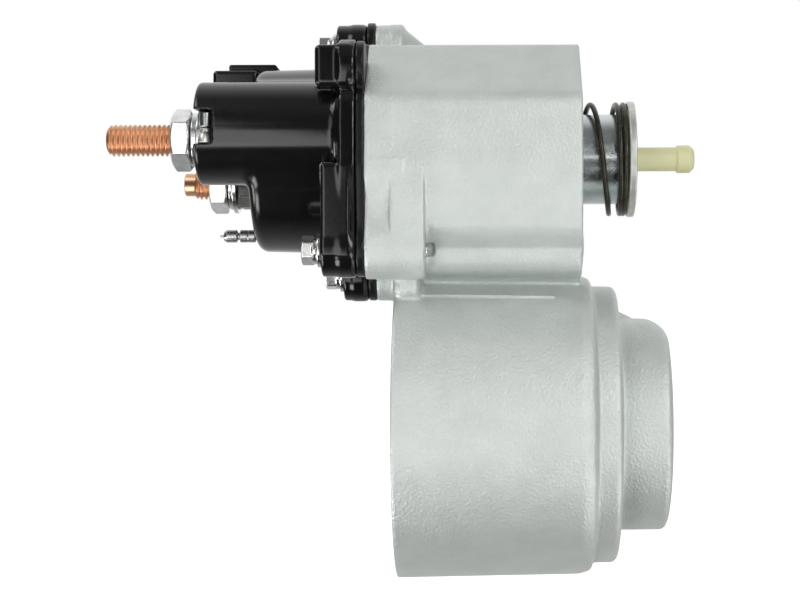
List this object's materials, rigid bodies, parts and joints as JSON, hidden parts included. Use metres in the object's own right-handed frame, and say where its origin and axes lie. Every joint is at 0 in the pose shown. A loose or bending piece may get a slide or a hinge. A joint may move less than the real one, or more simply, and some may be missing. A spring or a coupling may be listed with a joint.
{
  "type": "starter motor",
  "caption": "Inline gear-reduction starter motor: cast housing, solenoid with moulded terminal cover, plunger and link rod, planetary gears and armature, without its drive-end nose.",
  "frame": {"origin": "on the motor axis at the end face of the output shaft", "axes": "+X along the motor shaft towards the drive end, +Z from the motor axis up to the solenoid axis, +Y completes a right-handed set"},
  "size_m": [0.1846, 0.0976, 0.1814],
  "materials": {
    "cast_aluminium": "silver paint over a fine-grained casting",
    "black_moulding": "semi-gloss moulding",
    "black_rubber": "matt",
    "copper": "bright turned copper",
    "enamelled_wire": "varnished copper wire",
    "zinc_plate": "zinc plated",
    "machined_steel": "machined",
    "spring_steel": "dark oiled",
    "nylon": "natural cream",
    "bronze": "sintered, oiled",
    "ferrite": "ground ferrite",
    "carbon": "copper-graphite",
    "lamination": "stacked laminations",
    "bobbin_plastic": "glass-filled plastic"
  },
  "bodies": {
    "housing": {"battery_terminal_nut": "zinc_plate", "battery_terminal_stud": "copper", "battery_terminal_washer": "zinc_plate", "brush_holder": "bobbin_plastic", "brush_spring_1": "spring_steel", "brush_spring_2": "spring_steel", "brush_spring_3": "spring_steel", "brush_spring_4": "spring_steel", "coil_bobbin": "bobbin_plastic", "connector_pin": "copper", "control_connector": "black_moulding", "cover_bolt_1": "zinc_plate", "cover_bolt_2": "zinc_plate", "cover_bolt_3": "zinc_plate", "cover_gasket": "black_rubber", "end_cover_snap_ring": "spring_steel", "field_magnet_1": "ferrite", "field_magnet_2": "ferrite", "field_magnet_3": "ferrite", "field_magnet_4": "ferrite", "fixed_core": "machined_steel", "front_bush": "bronze", "front_pole_washer": "machined_steel", "front_shaft_seal": "black_rubber", "gearbox_divider_plate": "machined_steel", "hold_in_winding": "enamelled_wire", "main_housing": "cast_aluminium", "motor_terminal_collar": "machined_steel", "motor_terminal_nut": "zinc_plate", "motor_terminal_stud": "copper", "motor_terminal_washer": "zinc_plate", "motor_yoke_ring": "machined_steel", "pull_in_winding": "enamelled_wire", "rear_bush": "bronze", "rear_end_cover": "cast_aluminium", "return_spring": "spring_steel", "ring_gear": "machined_steel", "signal_terminal": "zinc_plate", "solenoid_cover": "black_moulding", "solenoid_flux_sleeve": "machined_steel"},
    "plunger_body": {"plunger": "zinc_plate", "spring_seat_disc": "zinc_plate", "contact_rod": "bronze", "engagement_spring": "spring_steel", "contact_spring": "spring_steel"},
    "link_rod_body": {"link_rod": "nylon"},
    "contact_disc_body": {"contact_disc": "copper"},
    "armature": {"armature_shaft": "machined_steel", "armature_core": "lamination", "armature_winding": "enamelled_wire", "commutator": "copper", "sun_gear": "machined_steel"},
    "carrier": {"planet_carrier": "machined_steel"},
    "planet_1": {"planet_gear_1": "machined_steel"},
    "planet_2": {"planet_gear_2": "machined_steel"},
    "planet_3": {"planet_gear_3": "machined_steel"},
    "brush_body_1": {"brush_1": "carbon"},
    "brush_body_2": {"brush_2": "carbon"},
    "brush_body_3": {"brush_3": "carbon"},
    "brush_body_4": {"brush_4": "carbon"}
  },
  "joints": [
    {"name": "plunger_slide", "type": "slide", "parent": "housing", "child": "plunger_body", "axis": [-1, 0, 0], "range_m": [0, 0.01], "stiffness_N_per_m": 1200, "springref_m": -0.008, "deforming": ["return_spring"]},
    {"name": "link_rod_slide", "type": "slide", "parent": "plunger_body", "child": "link_rod_body", "axis": [1, 0, 0], "range_m": [0, 0.008], "deforming": ["engagement_spring"]},
    {"name": "contact_disc_slide", "type": "slide", "parent": "plunger_body", "child": "contact_disc_body", "axis": [-1, 0, 0], "range_m": [-0.002, 0], "deforming": ["contact_spring"]},
    {"name": "armature_spin", "type": "hinge", "parent": "housing", "child": "armature", "pos_m": [0, 0, 0], "axis": [1, 0, 0], "continuous": true},
    {"name": "carrier_spin", "type": "hinge", "parent": "housing", "child": "carrier", "pos_m": [0, 0, 0], "axis": [1, 0, 0], "continuous": true},
    {"name": "planet_1_spin", "type": "hinge", "parent": "carrier", "child": "planet_1", "pos_m": [-0.028, 0, 0.01875], "axis": [1, 0, 0], "continuous": true},
    {"name": "planet_2_spin", "type": "hinge", "parent": "carrier", "child": "planet_2", "pos_m": [-0.028, -0.01624, -0.00937], "axis": [1, 0, 0], "continuous": true},
    {"name": "planet_3_spin", "type": "hinge", "parent": "carrier", "child": "planet_3", "pos_m": [-0.028, 0.01624, -0.00937], "axis": [1, 0, 0], "continuous": true},
    {"name": "brush_1_slide", "type": "slide", "parent": "housing", "child": "brush_body_1", "axis": [0, 0.7071, 0.7071], "range_m": [0, 0.0025], "deforming": ["brush_spring_1"]},
    {"name": "brush_2_slide", "type": "slide", "parent": "housing", "child": "brush_body_2", "axis": [0, -0.7071, 0.7071], "range_m": [0, 0.0025], "deforming": ["brush_spring_2"]},
    {"name": "brush_3_slide", "type": "slide", "parent": "housing", "child": "brush_body_3", "axis": [0, -0.7071, -0.7071], "range_m": [0, 0.0025], "deforming": ["brush_spring_3"]},
    {"name": "brush_4_slide", "type": "slide", "parent": "housing", "child": "brush_body_4", "axis": [0, 0.7071, -0.7071], "range_m": [0, 0.0025], "deforming": ["brush_spring_4"]}
  ],
  "couplings": [
    {"joint": "contact_disc_slide", "follows": "plunger_slide", "ratio": -0.2},
    {"joint": "carrier_spin", "follows": "armature_spin", "ratio": 0.2},
    {"joint": "planet_1_spin", "follows": "armature_spin", "ratio": -0.53333},
    {"joint": "planet_2_spin", "follows": "armature_spin", "ratio": -0.53333},
    {"joint": "planet_3_spin", "follows": "armature_spin", "ratio": -0.53333}
  ]
}
